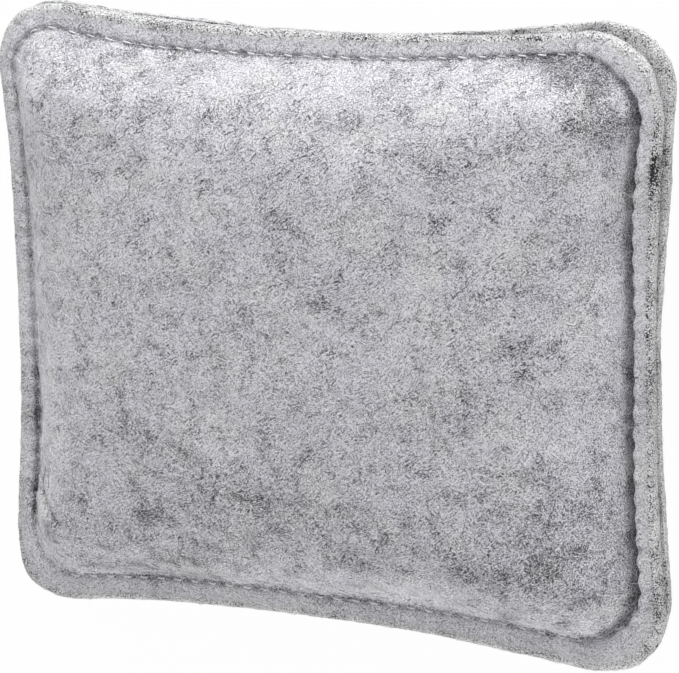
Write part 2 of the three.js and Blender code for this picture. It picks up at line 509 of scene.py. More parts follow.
def join_rows(turns, *parts):
    return np.concatenate([np.broadcast_to(part, (*part.shape[:2], len(turns))) for part in parts], axis=1)


def outside_rows(turns):
    return join_rows(turns, shoulder_rows(turns), lip_rows(turns), edge_rows(turns))


def hidden_rows(crown, turns):
    inside = inner_rows(INSIDE_ROWS, FELT).copy()
    inside[2, 0] = SHEET_FOOT
    return join_rows(turns, inside, flat_rows(1, FELT, crown))


print(f"{EDGE_ROW + 2 * EDGE_ROWS + 2} rows outside and {INSIDE_ROWS + 1} inside")

# %% [markdown]
# ## Welding grids
#
# Every soft piece of this pad is made of flat grids whose points are moved to where the felt or thread runs.
# Welding then closes a strip round the pad, and joins the strip to the patch that fills its middle.

# %% Grids welded into a closed piece


def weld_grids(name, *grids):
    """Each grid is its points in mm, and numbers to keep on the mesh by name."""
    parts = []
    for points, marks in grids:
        count_rows, count_columns = points.shape[:2]
        bpy.ops.mesh.primitive_grid_add(x_subdivisions=count_columns - 1, y_subdivisions=count_rows - 1)
        mesh = bpy.context.object.data
        mesh.vertices.foreach_set("co", (points * MM).reshape(-1))
        for mark, values in marks.items():
            layer = mesh.attributes.new(mark, "FLOAT", "POINT")
            layer.data.foreach_set("value", np.broadcast_to(values, points.shape[:2]).reshape(-1))
        parts.append(bpy.context.object)
    bpy.ops.object.select_all(action="DESELECT")
    for part in parts:
        part.select_set(True)
    if len(parts) > 1:
        bpy.ops.object.join()
    piece = bpy.context.object
    piece.name = name
    bpy.ops.object.mode_set(mode="EDIT")
    bpy.ops.mesh.select_all(action="SELECT")
    bpy.ops.mesh.remove_doubles(threshold=0.001 * MM)
    bpy.ops.mesh.normals_make_consistent(inside=False)
    bpy.ops.object.mode_set(mode="OBJECT")
    bpy.ops.object.shade_smooth()
    return piece


# %% Reading a piece back


def read_mark(piece, mark):
    values = np.zeros(len(piece.data.vertices))
    piece.data.attributes[mark].data.foreach_get("value", values)
    return values


def read_points(piece):
    """Vertices of a piece, in mm."""
    values = np.zeros(len(piece.data.vertices) * 3)
    piece.data.vertices.foreach_get("co", values)
    return values.reshape(-1, 3) / MM


# %% [markdown]
# ## A seam sewn by hand guidance
#
# No seam runs quite parallel to its edge. This one keeps a little further in along the sides, wanders, and
# cuts the top right corner. The knife wandered too, so the edges of the two sheets do not quite agree: at the
# top right corner the lower sheet stands out past the upper one and shows as a second edge.

# %% Wander of the seam and of the cut
PER_STITCH = 6
columns = stitch_count * PER_STITCH
WANDER_AT = (
    *(0, 0.25, 0.5, 0.8, 1.15, 1.5, 1.83, 2.1, 2.6, 3.05, 3.45, 3.8),
    *(4.5, 5.15, 5.5, 5.87, 6.4, 6.7, 6.9, 7.0, 7.25, 7.45, 7.6, 7.72, 7.82, 7.92, 8),
)
WANDER = (
    *(0.3, 1.1, 2.0, 1.3, 0.4, 0.5, 1.4, 0.4, -0.6, -1.0, -0.7, 0.0),
    *(0.3, 1.0, 0.4, 1.6, 1.6, 1.2, 0.5, 0.2, 0.1, -0.6, -0.6, 0.4, 1.0, 0.8, 0.3),
)
TRIM_AT = (0, 0.15, 0.5, 0.85, 1.15, 1.4, 1.8, 2.2, 2.6, 3.2, 4.1, 4.5, 4.9, 6.0, 6.5, 7.0, 7.2, 7.5, 7.85, 8)
FACE_TRIM = (
    *(0.5, 0.9, 1.2, 1.0, 0.3, 0.0, 0.0, -0.3, -0.7, -0.65),
    *(-0.65, -1.3, -0.6, -0.5, -0.3, -0.3, -0.4, -0.3, 0.0, 0.5),
)
BACK_TRIM = (
    *(-0.8, -0.9, -0.8, -0.8, -0.4, 0.1, -0.3, -0.5, -0.6, -0.5),
    *(-0.5, -1.0, -0.5, -0.4, -0.3, -0.5, -1.0, -0.6, -1.2, -0.8),
)
SLOW_WANDER = 0.2
RAGGED = 0.22


def slow_wave(turns, seed):
    return np.sin(math.pi / 4 * turns * (5 + seed) + 1) + np.sin(math.pi / 4 * turns * (13 + seed) + 2 * seed)


def wander(turns):
    return np.interp(turns % 8, WANDER_AT, WANDER) + SLOW_WANDER / 2 * slow_wave(turns, 0)


def seam_turns(count):
    return np.interp(np.arange(count + 1) / count * seam_walk[-1], seam_walk, dense_turns)


def sheet_points(rows, turns, side):
    inset, corner, height, scale = rows
    before = np.clip(inset / SEAM_INSET, 0, 1)
    beyond = np.clip(1 - (inset - SEAM_INSET) / (RIM_INSET - SEAM_INSET), 0, 1)
    seed = 3 if side > 0 else 7
    trim = np.interp(turns % 8, TRIM_AT, FACE_TRIM if side > 0 else BACK_TRIM)
    ragged = trim + RAGGED / 2 * slow_wave(turns, seed)
    shift = before * beyond * wander(turns) + (1 - before) * ragged
    x, y = around(inset + shift, corner, np.broadcast_to(turns, inset.shape))
    x, y = drawn_in(x * scale, y * scale)
    return np.stack([x, y, PARTING + side * height], axis=-1)


fine_turns = seam_turns(columns)
print(f"the seam wanders up to {wander(dense_turns).max():.1f} mm in")

# %% [markdown]
# ## The patch in the middle
#
# The rim of the flat is a rounded rectangle. A patch with as many points on each side as the strip has there
# fills it: every point is blended from the two pairs of opposite sides, and lifted into the crown.

# %% Patch blended from the rim
SIM_SKIP = 3
LONG_SIDE = 63 * SIM_SKIP
SHORT_SIDE = columns // 2 - LONG_SIDE
FIRST_CORNER = round(np.searchsorted(fine_turns, 0.5) / SIM_SKIP) * SIM_SKIP


def middle_patch(rim, crown, side):
    ring = np.roll(rim[:-1], -FIRST_CORNER, axis=0)
    ring = np.concatenate([ring, ring[:1]])
    half = LONG_SIDE + SHORT_SIDE
    top = ring[: LONG_SIDE + 1]
    left = ring[LONG_SIDE : half + 1]
    bottom = ring[half : half + LONG_SIDE + 1][::-1]
    right_side = ring[half + LONG_SIDE :][::-1]
    u = np.linspace(0, 1, LONG_SIDE + 1)[None, :, None]
    v = np.linspace(0, 1, SHORT_SIDE + 1)[:, None, None]
    patch = (1 - v) * top[None] + v * bottom[None] + (1 - u) * right_side[:, None] + u * left[:, None]
    patch = patch - (1 - v) * ((1 - u) * top[0] + u * top[-1]) - v * ((1 - u) * bottom[0] + u * bottom[-1])
    patch[..., 2] += side * crown * (16 * u * (1 - u) * v * (1 - v))[..., 0]
    return patch


print(f"patch of {LONG_SIDE} by {SHORT_SIDE} quads")

# %% [markdown]
# ## Swelling
#
# The foam pushes the felt outwards, and only the stitches hold it. A cloth simulation does the same to a
# coarser sheet: it starts a little slack, is held along the seam and the edge, and pressure swells it. The
# table holds the middle of the back flat. A Smooth modifier irons out what thick felt would not wrinkle. How
# far each point moves is then read back and carried over to the fine sheet.

# %% Cloth simulation of one sheet
SLACK = 0.985
SLACK_CROWN = 0.85
SIM_FRAMES = 20
SWELL_CAP = 2.5
IRONING = 8


def spread(moved, count, places, axis):
    """Fills in a coarse grid along one axis, in straight lines between its places."""
    at = np.interp(np.arange(count), places, np.arange(len(places)))
    low = np.minimum(np.floor(at).astype(int), len(places) - 2)
    share = np.expand_dims(at - low, (1, 2) if axis == 0 else (0, 2))
    return np.take(moved, low, axis) * (1 - share) + np.take(moved, low + 1, axis) * share


def swell(strip, patch, side):
    """How far, in mm, the points of strip and patch move when the pad fills."""
    last = len(strip) - 1
    picks = np.unique([*range(0, SEAM_ROW, SIM_SKIP), SEAM_ROW - 1, *range(SEAM_ROW, last, SIM_SKIP), last])
    coarse_strip = strip[picks][:, ::SIM_SKIP]
    coarse_patch = patch[::SIM_SKIP, ::SIM_SKIP]
    flat_hold = 0.0 if side > 0 else 1.0
    hold = np.where(picks < SEAM_ROW - 1, 0.0, 1.0)[:, None]
    hold[0] = flat_hold
    sheet = weld_grids("swelling_sheet", (coarse_strip, {"hold": hold}), (coarse_patch, {"hold": flat_hold}))
    group = sheet.vertex_groups.new(name="hold")
    group.add(np.nonzero(read_mark(sheet, "hold"))[0].tolist(), 1.0, "REPLACE")

    cloth = sheet.modifiers.new("swell", "CLOTH")
    cloth.settings.quality = 6
    cloth.settings.mass = 0.1
    cloth.settings.tension_stiffness = 12
    cloth.settings.compression_stiffness = 12
    cloth.settings.shear_stiffness = 6
    cloth.settings.bending_stiffness = 10
    cloth.settings.use_pressure = True
    cloth.settings.uniform_pressure_force = 3
    cloth.settings.vertex_group_mass = "hold"
    cloth.settings.effector_weights.gravity = 0
    cloth.collision_settings.use_collision = False
    cloth.point_cache.frame_end = SIM_FRAMES
    ironed = sheet.modifiers.new("ironed", "SMOOTH")
    ironed.iterations = IRONING
    ironed.vertex_group = "hold"
    ironed.invert_vertex_group = True
    start = read_points(sheet)
    for step in range(1, SIM_FRAMES + 1):
        bpy.context.scene.frame_set(step)
    bpy.ops.object.modifier_apply(modifier="swell")
    bpy.ops.object.modifier_apply(modifier="ironed")
    change = read_points(sheet) - start
    bpy.context.scene.frame_set(1)
    bpy.ops.object.delete()

    far = np.linalg.norm(change, axis=-1, keepdims=True)
    print(f"swelling moves the felt {far.mean():.2f} mm on average, {far.max():.2f} mm at most")
    change *= np.minimum(1, SWELL_CAP / np.maximum(far, 1e-9))
    tree = KDTree(len(start))
    for index, point in enumerate(start):
        tree.insert(point, index)
    tree.balance()
    strip_moved, patch_moved = (
        change[[tree.find(point)[1] for point in grid.reshape(-1, 3)]].reshape(grid.shape)
        for grid in (coarse_strip, coarse_patch)
    )
    strip_moved = spread(strip_moved, len(strip), picks, 0)
    strip_moved = spread(strip_moved, strip.shape[1], np.arange(0, strip.shape[1], SIM_SKIP), 1)
    for axis in (0, 1):
        patch_moved = spread(patch_moved, patch.shape[axis], np.arange(0, patch.shape[axis], SIM_SKIP), axis)
    return strip_moved, patch_moved


# %% [markdown]
# ## Stitches pull the felt
#
# At each needle hole the thread draws the felt down, and between the holes it bulges. That puckers the foot
# of the shoulder a little and scallops the lip. No two stitches pull quite alike.

# %% Puckers beside the seam
STITCH_PULL = (0.5, 1.4)
PUCKER = 0.2
PUCKER_REACH = (0.9, 2.4)
SCALLOP = (0.25, 0.42)
SCALLOP_REACH = (0.4, 1.3)
PIT_DEPTH = (0.28, 0.35)
PIT_ACROSS = 0.4
PIT_ALONG = 0.6


def outward(strip, side):
    """Unit normals of a strip that runs round the pad."""
    ring = strip[:, :-1]
    along = np.roll(ring, -1, axis=1) - np.roll(ring, 1, axis=1)
    normal = np.cross(along, np.gradient(ring, axis=0))
    normal /= np.linalg.norm(normal, axis=-1, keepdims=True)
    if normal[0, 0, 2] * side < 0:
        normal = -normal
    return np.concatenate([normal, normal[:, :1]], axis=1)


def rise_and_fade(distance, rise, fade):
    return np.exp(-distance / fade) * (1 - np.exp(-distance / rise))


def pucker(outside, seed):
    """How far, in mm, the stitches move each point along its normal."""
    random = np.random.default_rng(seed)
    pull = random.uniform(*STITCH_PULL, stitch_count)
    column = np.arange(columns + 1)
    number = column // PER_STITCH % stitch_count
    phase = column % PER_STITCH / PER_STITCH
    strength = pull[number] * (1 - phase) + pull[(number + 1) % stitch_count] * phase
    wave = np.cos(2 * math.pi * phase) * strength
    from_seam = outside[0] - SEAM_INSET
    dome = rise_and_fade(np.maximum(from_seam, 0), *PUCKER_REACH)
    lip = rise_and_fade(np.maximum(-from_seam, 0), *SCALLOP_REACH)
    pit = np.exp(-((from_seam / PIT_ACROSS) ** 2))
    needle = np.exp(-((np.minimum(phase, 1 - phase) * STITCH / PIT_ALONG) ** 2))
    scallop = between(*SCALLOP, fine_turns)
    return -(PUCKER * dome + scallop * lip) * wave - between(*PIT_DEPTH, fine_turns) * pit * needle


print(f"needle holes are {PIT_DEPTH[0]} mm deep at a side, {PIT_DEPTH[1]} at the right end")

# %% [markdown]
# ## Dark wool, painted shade and painted light
#
# Where dark fibres happened to gather in the blend, the felt shows smudges a few millimetres across. Other
# smudges are painted shade: in the crease round the top corners, over the lower and right parts of the face
# where they turn from the light, and along the right cut edge. A few are painted light that makes the felt
# paler, on the right and bottom lips and on a facet beside the fold. All are marked on the mesh for the
# material to read. Each has its place, its reach along and across in millimetres, and its strength, which is
# below zero where the felt is made paler. A fold runs across the lower left corner, where the felt was
# squeezed round the filling; its dark line is painted shade.

# %% Smudges of dark wool, of painted shade and of painted light
FACE_WOOL_AND_PAINTED_LIGHT = (
    (-34, -40, 3, 4, 1.4),
    (-37, -46, 3, 2, 0.9),
    (-44, 42, 3, 2, 0.7),
    (0, 23, 4, 3, 0.6),
    (6, 29, 3, 3, 0.6),
    # Painted shade in the crease round the top right corner.
    (61.5, 45, 5, 2.5, 1.5),
    (61, 51.5, 3, 2.5, 1.4),
    (56, 55, 5, 3, 1.3),
    (50, 57, 4, 2, 1.2),
    (-12, 46, 5, 4, 0.5),
    (-29, -48, 5, 2, 0.8),
    # The next four are painted shade where the lower and right parts of the face turn from the light.
    (36, -40, 9, 6, 0.4),
    (54, -38, 14, 14, 0.75),
    (44, 0, 12, 16, 0.2),
    (0, -38, 50, 12, 0.45),
    (-42, -54, 20, 4, 1.0),
    (-23, -25, 3, 3, 0.7),
    (-35, -22, 4, 3, 0.7),
    (-11, 38, 3, 3, 0.5),
    (33, 36, 3, 3, 0.5),
    (51, 3, 4, 3, 0.4),
    (55, -24, 3, 4, 0.5),
    (59, -46, 3, 4, 0.6),
    (-28, 0, 3, 4, 0.5),
    (-14, -32, 4, 3, 0.6),
    (7, -22, 4, 3, 0.4),
    (-45, -47, 3, 2, 0.8),
    (-23, -48, 4, 2, 0.8),
    # Painted shade where the top left corner lies low.
    (-55, 51, 9, 6, 0.5),
    (-38, 50, 14, 7, 0.35),
    # Painted shade in the crease along the top, towards the right corner.
    (45, 56.5, 11, 2.5, 0.8),
    (-68, -22, 3, 9, 1.2),
    (-71, 28, 3, 16, 0.9),
    (-68, -42, 3, 7, 1.5),
    # Painted light on the facet beside the fold.
    (-64, -46, 3, 5, -0.6),
    # Painted light on the right and bottom lips.
    (69, -5, 2, 42, -0.7),
    (-12, -58.5, 38, 2, -0.7),
)
FACE_EDGE_WOOL_AND_SHADE = (
    (70, 36, 3, 5, 2.0),
    (72, -46, 2, 4, 1.0),
    (40, 61, 9, 1.5, 0.9),
    (-55, 62, 3, 1.5, 0.7),
    (70, 12, 2, 3, 0.4),
    # Painted shade along the right cut edge.
    (71, 0, 3, 45, 0.3),
    (-5, 60, 42, 3, 0.6),
)
BACK_SMUDGES = ((-20, 10, 6, 5, 0.6), (32, -18, 4, 6, 0.7), (48, 30, 5, 3, 0.8), (-44, -30, 4, 5, 0.6))
BACK_EDGE_SMUDGES = ((72, -46, 2, 4, 0.6), (30, 61, 7, 1.5, 0.5), (70, 0, 2, 5, 0.4), (-30, -61, 6, 2, 0.5))


def smudge(points, places):
    total = np.zeros(points.shape[:-1])
    for x, y, reach_x, reach_y, strength in places:
        across = ((points[..., 0] - x) / reach_x) ** 2 + ((points[..., 1] - y) / reach_y) ** 2
        total += strength * np.exp(-across)
    return total


print(len(FACE_WOOL_AND_PAINTED_LIGHT), "smudges on the face,", len(BACK_SMUDGES), "on the back")

# %% Fold across a corner
FOLD_START = np.array([-64.2, -36.8])
FOLD_END = np.array([-55.0, -44.8])
FOLD_DEPTH = 0.9
FOLD_WIDTH = 0.6
FOLD_SWELL = 0.5
FOLD_SWELL_FROM = 3.0
FOLD_SWELL_WIDTH = 2.2


def corner_fold(points):
    """How deep in the fold each point lies, and how far up the low swell beside it, both from 0 to 1."""
    run = FOLD_END - FOLD_START
    length = np.linalg.norm(run)
    offset = points[..., :2] - FOLD_START
    along = offset @ run / length**2
    across = offset @ np.array([run[1], -run[0]]) / length
    fade = np.exp(-((2 * along - 1) ** 6))
    sunk = fade * np.exp(-np.abs(across) / FOLD_WIDTH)
    swollen = fade * np.exp(-(((across - FOLD_SWELL_FROM) / FOLD_SWELL_WIDTH) ** 2))
    return sunk, swollen


print(f"the fold is {np.linalg.norm(FOLD_END - FOLD_START):.1f} mm long and {FOLD_DEPTH} mm deep")

# %% [markdown]
# ## The two sheets
#
# Section, swelling, puckers and fold together give the points of a sheet. Two Displace modifiers then add
# what felting leaves: low lumps about a centimetre wide, and the nap of the surface. Beside the seam the
# felt is pressed hard, so they fade out there.

# %% Making a sheet
# The lip is pressed felt with fewer dark hairs, and it is also painted paler than that: painted light where the
# side light falls on it.
LIP_PALER_AND_PAINTED_LIGHT = -1.1
# Beside the seam the needle drew in dark fibres, and painted shade darkens the crease as well, most at the
# tight right-hand end.
SEAM_WOOL_AND_SHADE = (0.15, 1.2)
SEAM_DARKENING_REACH = (1.0, 2.0)
# Painted shadow along the fold's crease.
FOLD_PAINTED_SHADE = 1.3
LUMPS = (("lumps", 11, 0.4), ("nap", 1.7, 0.2))
PRESSED_REACH = 2.5
PRESSED_LEAST = 0.1


def felt_sheet(name, crown, side, smudges, edge_smudges, seed):
    outside = outside_rows(fine_turns)
    slack = outside.copy()
    if side > 0:
        seam_height = outside[2, SEAM_ROW]
        slack[2, :SEAM_ROW] = seam_height + SLACK * (outside[2, :SEAM_ROW] - seam_height)
    strip = sheet_points(slack, fine_turns, side)
    patch = middle_patch(strip[0], SLACK_CROWN * crown, side)
    strip_moved, patch_moved = swell(strip, patch, side)
    strip = strip + strip_moved
    patch = patch + patch_moved
    shift = pucker(outside, seed)
    if side > 0:
        sunk, swollen = corner_fold(strip)
        shift = shift + FOLD_SWELL * swollen - FOLD_DEPTH * sunk
    strip = strip + outward(strip, side) * shift[..., None]
    hidden = sheet_points(hidden_rows(crown, fine_turns), fine_turns, side)
    row = np.arange(len(strip) + len(hidden))[:, None]
    cut = np.interp(row, [EDGE_ROW - 2, EDGE_ROW], [0, 1])
    lip = np.interp(row, [SEAM_ROW, SEAM_ROW + 4, EDGE_ROW, EDGE_ROW + 2], [0, 1, 1, 0])
    seam = np.zeros((len(row), columns + 1))
    from_seam = outside[0] - SEAM_INSET
    reach = np.where(from_seam > 0, between(*SEAM_DARKENING_REACH, fine_turns), SEAM_DARKENING_REACH[0])
    seam[: len(strip)] = between(*SEAM_WOOL_AND_SHADE, fine_turns) * np.exp(-np.abs(from_seam) / reach)
    free = np.zeros((len(row), columns + 1))
    free[: len(strip) - 1] = np.clip(np.abs(from_seam[:-1]) / PRESSED_REACH, PRESSED_LEAST, 1)
    sheet = weld_grids(
        name,
        (np.concatenate([strip, hidden]), {"cut_edge": cut, "free": free, "lip": lip, "seam": seam}),
        (patch, {"cut_edge": 0.0, "free": 1.0, "lip": 0.0, "seam": 0.0}),
    )
    cut = read_mark(sheet, "cut_edge")
    points = read_points(sheet)
    dark = sheet.data.attributes.new("wool_and_painted_light", "FLOAT", "POINT")
    # Dark wool, painted shade and painted light from the smudge tables, a lip painted paler, and dark fibres
    # with painted shade along the seam go into one mark.
    marked_wool_and_light = smudge(points, smudges)
    marked_wool_and_light += LIP_PALER_AND_PAINTED_LIGHT * read_mark(sheet, "lip") + read_mark(sheet, "seam")
    # The fold's dark line is painted shade.
    if side > 0:
        marked_wool_and_light += FOLD_PAINTED_SHADE * corner_fold(points)[0]
    dark.data.foreach_set("value", marked_wool_and_light * (1 - cut) + smudge(points, edge_smudges) * cut)

    group = sheet.vertex_groups.new(name="free")
    for index, weight in enumerate(read_mark(sheet, "free")):
        group.add([index], weight, "REPLACE")
    for label, size, strength in LUMPS:
        texture = bpy.data.textures.new(f"{name}_{label}", "CLOUDS")
        texture.noise_scale = size * MM
        texture.noise_depth = 2
        displace = sheet.modifiers.new(label, "DISPLACE")
        displace.texture = texture
        displace.texture_coords = "LOCAL"
        displace.strength = strength * MM
        displace.mid_level = 0.5
        displace.vertex_group = "free"
        bpy.ops.object.modifier_apply(modifier=label)
    sheet.vertex_groups.clear()
    points = read_points(sheet)
    points[:, 2] = np.maximum(points[:, 2], 0)
    sheet.data.vertices.foreach_set("co", (points * MM).reshape(-1))
    sheet.data.update()
    sheet.data.materials.append(needle_felt)
    print(name, len(sheet.data.polygons), "faces")
    return sheet


# %% Face sheet and back sheet
face = felt_sheet("face_sheet", CROWN, 1, FACE_WOOL_AND_PAINTED_LIGHT, FACE_EDGE_WOOL_AND_SHADE, 11)
back = felt_sheet("back_sheet", 0, -1, BACK_SMUDGES, BACK_EDGE_SMUDGES, 12)
for sheet, node in ((face, "face_felt"), (back, "back_felt")):
    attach(sheet, "root")
    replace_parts(sheet, node)

# %% [markdown]
# ## Loose hairs
#
# Not every hair is felted in. A few thousand lie loose on each sheet, pale and dark, and catch the light one
# by one. One hair is modelled as a thin three-sided rod, an Array modifier copies it, and each copy is then
# bent along its own path on the felt. Real wool is a third as thick, too thin for the render to show.

# %% Loose hair material
HAIR_STOPS = ((0.0, "#2E2E32"), (0.5, "#8E8D93"), (1.0, "#ECEBF0"))
wool_hair = new_material("loose wool hair")
hair_shade = add_node(wool_hair, "Attribute", attribute_name="shade")
hair_colour = colour_ramp(wool_hair, hair_shade.outputs["Fac"], HAIR_STOPS)
rod = add_node(
    wool_hair,
    "BsdfPrincipled",
    {"Base Color": hair_colour, "Roughness": 0.7, "Specular IOR Level": 0.3, "Sheen Weight": 0.2},
)
finish_material(wool_hair, rod.outputs[0])

# %% Paths of the loose hairs
LOOSE_HAIRS = 3200
LOOSE_STEPS = 6
LOOSE_RADIUS = 0.045
LOOSE_TIP = 0.4
LOOSE_LENGTH = (2.0, 5.0)
LOOSE_DARK = 0.3
DARK_LENGTH = 0.5
LOOSE_CURL = 0.9
LOOSE_LIFT = 0.25
LOOSE_FREE = 0.3
PALE_SHADE = 0.75


def hair_paths(sheet, seed):
    """Points of each hair, its directions across and up, in mm, and how pale it is."""
    random = np.random.default_rng(seed)
    outer = np.nonzero(read_mark(sheet, "free") > LOOSE_FREE)[0]
    mesh = sheet.data
    areas = np.zeros(len(mesh.polygons))
    starts = np.zeros(len(mesh.polygons), int)
    corners = np.zeros(len(mesh.loops), int)
    mesh.polygons.foreach_get("area", areas)
    mesh.polygons.foreach_get("loop_start", starts)
    mesh.loops.foreach_get("vertex_index", corners)
    roots = corners[starts]
    areas = areas * np.isin(roots, outer)
    chosen = random.choice(len(areas), LOOSE_HAIRS, p=areas / areas.sum())
    root = read_points(sheet)[roots[chosen]]
    surface = BVHTree.FromObject(sheet, bpy.context.evaluated_depsgraph_get())
    step = np.linspace(-0.5, 0.5, LOOSE_STEPS + 1).tolist()
    dyed = random.uniform(0, 1, LOOSE_HAIRS) < LOOSE_DARK
    length = (random.uniform(*LOOSE_LENGTH, LOOSE_HAIRS) * np.where(dyed, DARK_LENGTH, 1)).tolist()
    heading = random.uniform(0, 2 * math.pi, LOOSE_HAIRS).tolist()
    curl = random.normal(0, LOOSE_CURL, LOOSE_HAIRS).tolist()
    lift = LOOSE_LIFT * random.uniform(0, 1, LOOSE_HAIRS) ** 2
    shade = np.where(dyed, 0, PALE_SHADE) + random.uniform(0, 1 - PALE_SHADE, LOOSE_HAIRS)
    paths = np.zeros((LOOSE_HAIRS, LOOSE_STEPS + 1, 3))
    ups = np.zeros_like(paths)
    for number in range(LOOSE_HAIRS):
        start = Vector(root[number] * MM)
        normal = surface.find_nearest(start)[1]
        ahead = normal.orthogonal().normalized()
        ahead.rotate(Quaternion(normal, heading[number]))
        beside = normal.cross(ahead)
        for place, share in enumerate(step):
            bend = curl[number] * share * share
            reach = (ahead * share + beside * bend) * length[number] * MM
            touch, normal_here, _, _ = surface.find_nearest(start + reach)
            hop = LOOSE_RADIUS / 2 + lift[number] * math.cos(math.pi * share) ** 2
            paths[number, place] = np.array(touch) / MM + hop * np.array(normal_here)
            ups[number, place] = normal_here
    ahead = np.gradient(paths, axis=1)
    across = np.cross(ahead, ups)
    across /= np.maximum(np.linalg.norm(across, axis=-1, keepdims=True), 1e-9)
    return paths, across, ups, shade


# %% Loose hairs on both sheets


def loose_hairs(name, sheet, seed):
    paths, across, ups, shade = hair_paths(sheet, seed)
    bpy.ops.object.select_all(action="DESELECT")
    bpy.ops.mesh.primitive_cylinder_add(vertices=3, radius=1, depth=1)
    piece = bpy.context.object
    piece.name = name
    bpy.ops.object.mode_set(mode="EDIT")
    bpy.ops.mesh.select_all(action="DESELECT")
    bpy.ops.object.mode_set(mode="OBJECT")
    for edge in piece.data.edges:
        low, high = (piece.data.vertices[index].co.z for index in edge.vertices)
        edge.select = abs(high - low) > 0.5
    bpy.ops.object.mode_set(mode="EDIT")
    bpy.ops.mesh.select_mode(type="EDGE")
    bpy.ops.mesh.subdivide(number_cuts=LOOSE_STEPS - 1)
    bpy.ops.object.mode_set(mode="OBJECT")
    one = read_points(piece) * MM
    ring = np.rint((one[:, 2] + 0.5) * LOOSE_STEPS).astype(int)
    copies = piece.modifiers.new("copies", "ARRAY")
    copies.count = LOOSE_HAIRS
    bpy.ops.object.modifier_apply(modifier="copies")
    thick = LOOSE_RADIUS * np.interp(ring, (0, 1, LOOSE_STEPS - 1, LOOSE_STEPS), (LOOSE_TIP, 1, 1, LOOSE_TIP))
    points = (
        paths[:, ring]
        + across[:, ring] * (thick * one[:, 0])[None, :, None]
        + ups[:, ring] * (thick * one[:, 1])[None, :, None]
    )
    points[..., 2] = np.maximum(points[..., 2], 0)
    piece.data.vertices.foreach_set("co", (points * MM).reshape(-1))
    layer = piece.data.attributes.new("shade", "FLOAT", "POINT")
    layer.data.foreach_set("value", np.repeat(shade, len(ring)))
    bpy.ops.object.mode_set(mode="EDIT")
    bpy.ops.mesh.select_all(action="SELECT")
    bpy.ops.mesh.normals_make_consistent(inside=False)
    bpy.ops.object.mode_set(mode="OBJECT")
    bpy.ops.object.shade_smooth()
    piece.data.materials.append(wool_hair)
    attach(piece, "root")
    print(name, LOOSE_HAIRS, "hairs,", len(piece.data.polygons), "faces")


loose_hairs("face_loose_hairs", face, 31)
loose_hairs("back_loose_hairs", back, 32)

# %% [markdown]
# ## Sewing thread
#
# Spun polyester thread, three plies twisted together, pale enough to show white against the felt. Each
# stitch comes out of one needle hole, lies on the felt and dives into the next. The face has the needle
# thread and the underside the bobbin thread. Both are one long tube with three lobes that twist as plies do.

# %% Thread material
FUZZ_SIZE = 0.25 * MM
thread = new_material("spun polyester thread")
thread_place = add_node(thread, "TexCoord").outputs["Object"]
fuzz = noise(thread, thread_place, FUZZ_SIZE, 2.0)["Fac"]
fuzz_colour = colour_ramp(thread, fuzz, ((0.3, "#CCCBCE"), (0.7, "#F2F1F3")))
fuzz_bump = add_node(thread, "Bump", {"Height": fuzz, "Strength": 0.4, "Distance": 0.05 * MM})
fibre = add_node(
    thread,
    "BsdfPrincipled",
    {
        "Base Color": fuzz_colour,
        "Roughness": 0.55,
        "Specular IOR Level": 0.4,
        "Sheen Weight": 0.2,
        "Normal": fuzz_bump.outputs["Normal"],
    },
)
finish_material(thread, fibre.outputs[0])

# %% Needle thread and bobbin thread
RINGS = 18
SIDES = 9
TWISTS = 2
LOBES = 0.16
THREAD_LIFT = 0.16
THREAD_DIP = 0.9
THREAD_OUT_AT = 0.2
THREAD_OUT_OVER = 0.18
THREAD_LEAN = 0.12
THREAD_PULL = 0.15
BURIED_AT = (0, 0.2, 0.7, 1.0, 2.5, 2.9, 4.4, 4.8, 5.8, 6.1, 7, 8)
BURIED = (0.1, 0.35, 0.35, 0.05, 0.05, 0.45, 0.45, 0.0, 0.0, 0.3, 0.1, 0.1)


def sewn_thread(name, side, seed):
    ring = np.arange(stitch_count * RINGS + 1)
    walk = ring / RINGS * stitch_length
    turns = np.interp(walk, seam_walk, dense_turns)
    x, y = drawn_in(*around(SEAM_INSET + wander(turns), BLANK_CORNER - SEAM_INSET, turns))
    phase = ring % RINGS / RINGS
    rise = np.clip((np.minimum(phase, 1 - phase) - THREAD_OUT_AT) / THREAD_OUT_OVER, 0, 1)
    pull = np.random.default_rng(seed).uniform(0, THREAD_PULL, stitch_count)
    sunk = pull[ring // RINGS % stitch_count] * 4 * phase * (1 - phase)
    buried = np.interp(turns % 8, BURIED_AT, BURIED) + sunk
    height = seam_floor(turns) + THREAD_LIFT - buried - THREAD_DIP * (1 - rise * rise * (3 - 2 * rise))
    path = np.stack([x, y, PARTING + side * height], axis=-1)
    ahead = np.roll(path[:-1], -1, axis=0) - np.roll(path[:-1], 1, axis=0)
    ahead = np.concatenate([ahead, ahead[:1]])
    ahead /= np.linalg.norm(ahead, axis=1, keepdims=True)
    across = np.cross(ahead, (0, 0, 1))
    across /= np.linalg.norm(across, axis=1, keepdims=True)
    lean = THREAD_LEAN * np.sin(2 * math.pi * (phase - 0.5))
    path = path + across * lean[:, None]
    over = np.cross(across, ahead)
    angle = 2 * math.pi * np.arange(SIDES + 1) / SIDES
    twist = 2 * math.pi * TWISTS * ring / RINGS
    radius = THREAD / 2 * (1 + LOBES * np.cos(3 * (angle[None, :] - twist[:, None])))
    points = (
        path[:, None, :]
        + across[:, None, :] * (radius * np.cos(angle))[..., None]
        + over[:, None, :] * (radius * np.sin(angle))[..., None]
    )
    piece = weld_grids(name, (points, {}))
    piece.data.materials.append(thread)
    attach(piece, "root")
    print(name, len(piece.data.polygons), "faces")
    return piece


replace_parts(sewn_thread("needle_stitches", 1, 21), "needle_thread")
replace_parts(sewn_thread("bobbin_stitches", -1, 22), "bobbin_thread")

